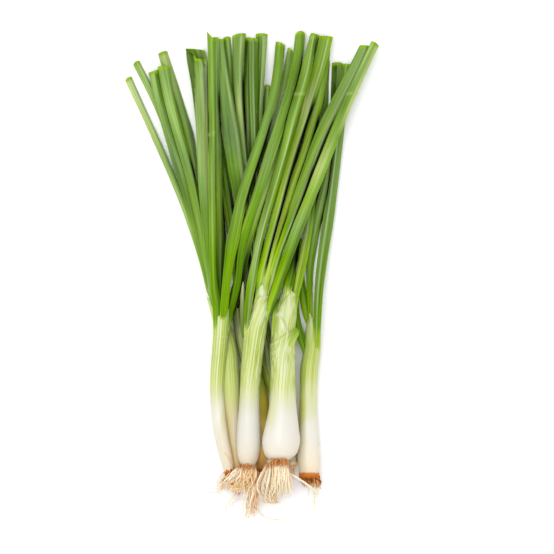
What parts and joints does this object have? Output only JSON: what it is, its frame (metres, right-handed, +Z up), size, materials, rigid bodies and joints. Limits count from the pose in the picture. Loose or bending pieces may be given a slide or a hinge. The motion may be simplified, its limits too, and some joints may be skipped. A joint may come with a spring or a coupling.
{
  "type": "spring onion bunch",
  "caption": "Loose bunch of spring onions lying flat: white bulbs with root tufts at one end, long hollow green leaves fanned out and trimmed at the other.",
  "frame": {"origin": "bottom centre of the bunch's own box, on the surface that it lies on", "axes": "+Y along the bunch from the roots towards the trimmed leaf ends, +X across it to the right seen from above with the leaves away from the viewer, +Z up from the surface"},
  "size_m": [0.1588, 0.301, 0.0286],
  "materials": {
    "leaf_skin": "waxy green leaf skin, satin, with fine lengthwise veins",
    "stalk_skin": "smooth moist white bulb passing into pale green striped sheath, satin",
    "root_fibre": "dry cream root threads on a rust-brown plate, matt"
  },
  "bodies": {
    "root": {"stalk_a": "stalk_skin", "stalk_b": "stalk_skin", "stalk_c": "stalk_skin", "stalk_d": "stalk_skin", "stalk_e": "stalk_skin", "stalk_f": "stalk_skin", "stalk_g": "stalk_skin", "leaf_a1": "leaf_skin", "leaf_a2": "leaf_skin", "leaf_a3": "leaf_skin", "leaf_a4": "leaf_skin", "leaf_a5": "leaf_skin", "leaf_b1": "leaf_skin", "leaf_b2": "leaf_skin", "leaf_b4": "leaf_skin", "leaf_b5": "leaf_skin", "leaf_b6": "leaf_skin", "leaf_b7": "leaf_skin", "leaf_c1": "leaf_skin", "leaf_c2": "leaf_skin", "leaf_c3": "leaf_skin", "leaf_c4": "leaf_skin", "leaf_c5": "leaf_skin", "leaf_d1": "leaf_skin", "leaf_d2": "leaf_skin", "leaf_d3": "leaf_skin", "leaf_e1": "leaf_skin", "leaf_e2": "leaf_skin", "leaf_e3": "leaf_skin", "leaf_e4": "leaf_skin", "leaf_f1": "leaf_skin", "leaf_f2": "leaf_skin", "leaf_f3": "leaf_skin", "leaf_f4": "leaf_skin", "leaf_f5": "leaf_skin", "leaf_g1": "leaf_skin", "leaf_g2": "leaf_skin", "leaf_g3": "leaf_skin", "leaf_g4": "leaf_skin", "leaf_g5": "leaf_skin", "cut_leaf_d": "leaf_skin", "sheath_tip_c": "stalk_skin", "roots_a": "root_fibre", "roots_b": "root_fibre", "roots_c": "root_fibre", "roots_d": "root_fibre", "roots_e": "root_fibre", "roots_f": "root_fibre", "roots_g": "root_fibre"}
  },
  "joints": []
}
